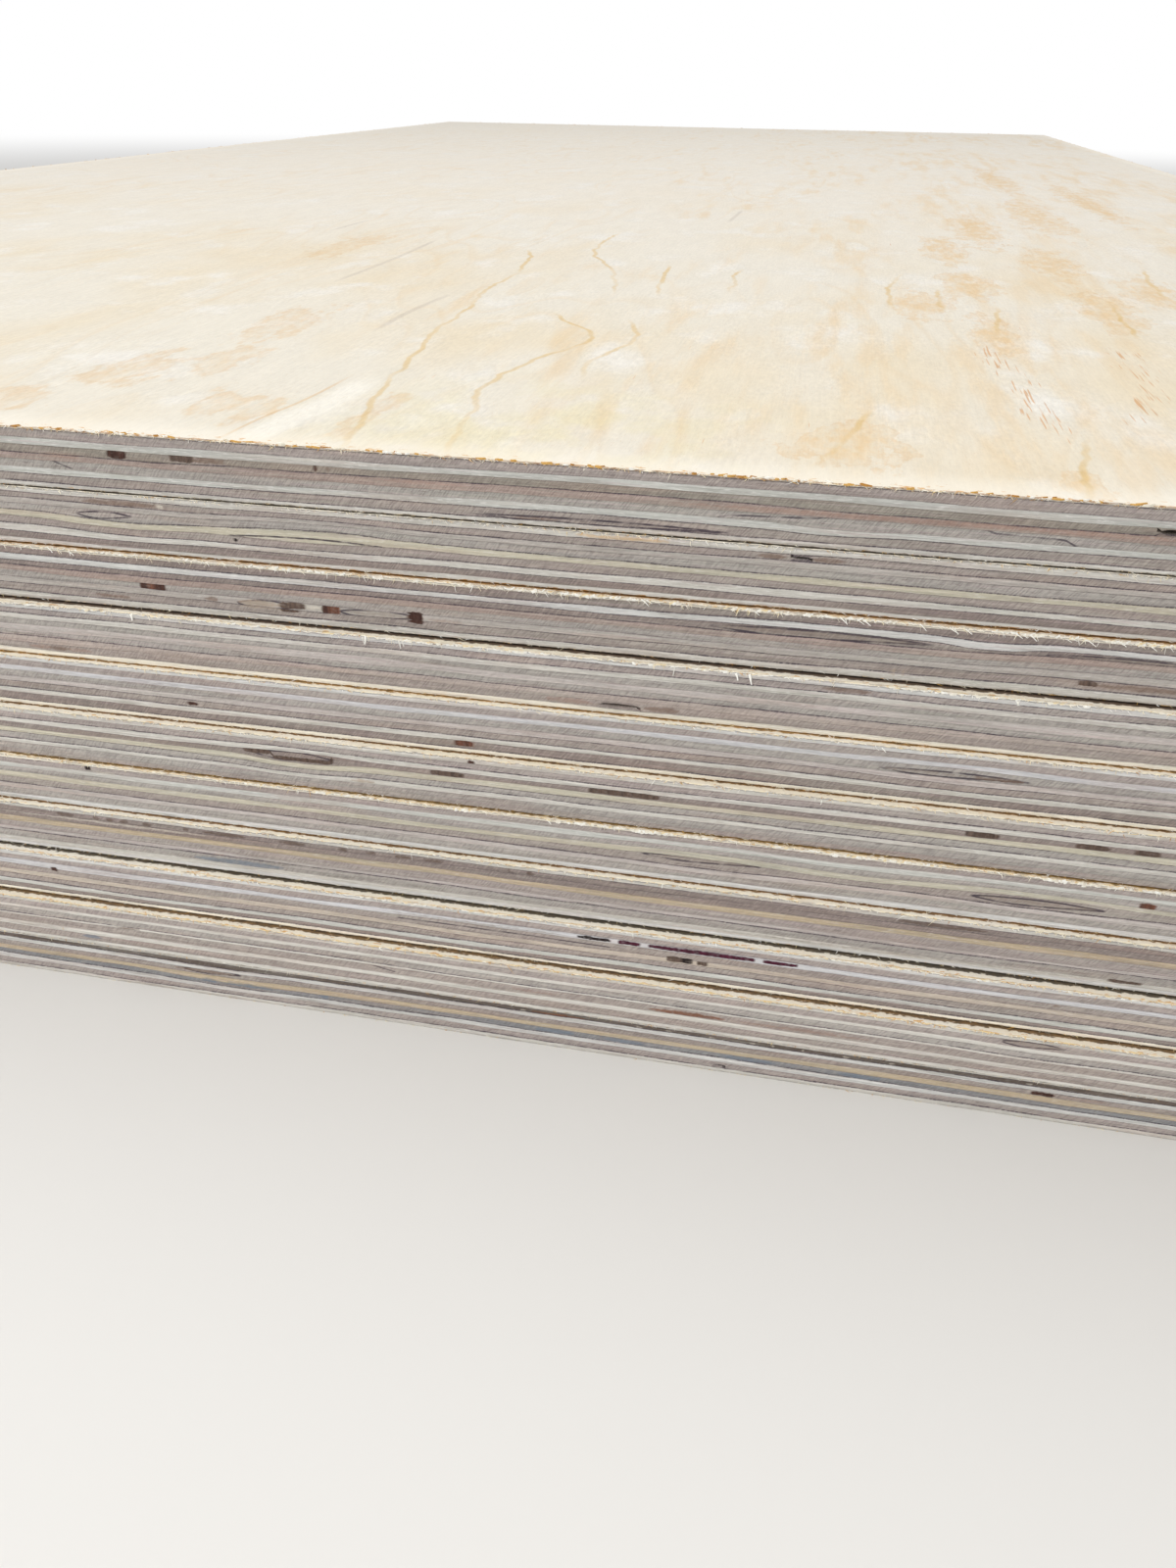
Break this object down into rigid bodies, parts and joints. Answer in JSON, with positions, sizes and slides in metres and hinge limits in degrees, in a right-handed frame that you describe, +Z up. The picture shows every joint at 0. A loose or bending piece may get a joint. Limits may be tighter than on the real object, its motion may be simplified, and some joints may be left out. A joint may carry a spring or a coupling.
{
  "type": "stack of plywood sheets",
  "caption": "Flush stack of full-size hardwood plywood sheets with cream face veneer and layered sawn edges, lying flat.",
  "frame": {"origin": "on the floor under the middle of the stack", "axes": "X across the sheets, Y along their length with the near end of the picture at -Y, Z up"},
  "size_m": [1.2242, 2.4558, 0.203],
  "materials": {
    "plywood": "sanded rotary-cut face veneer, rough sawn edges with pale and grey-brown plies"
  },
  "bodies": {
    "root": {"sheet_01": "plywood", "sheet_02": "plywood", "sheet_03": "plywood", "sheet_04": "plywood", "sheet_05": "plywood", "sheet_06": "plywood", "sheet_07": "plywood", "sheet_08": "plywood", "sheet_09": "plywood", "sheet_10": "plywood", "sheet_11": "plywood"}
  },
  "joints": []
}
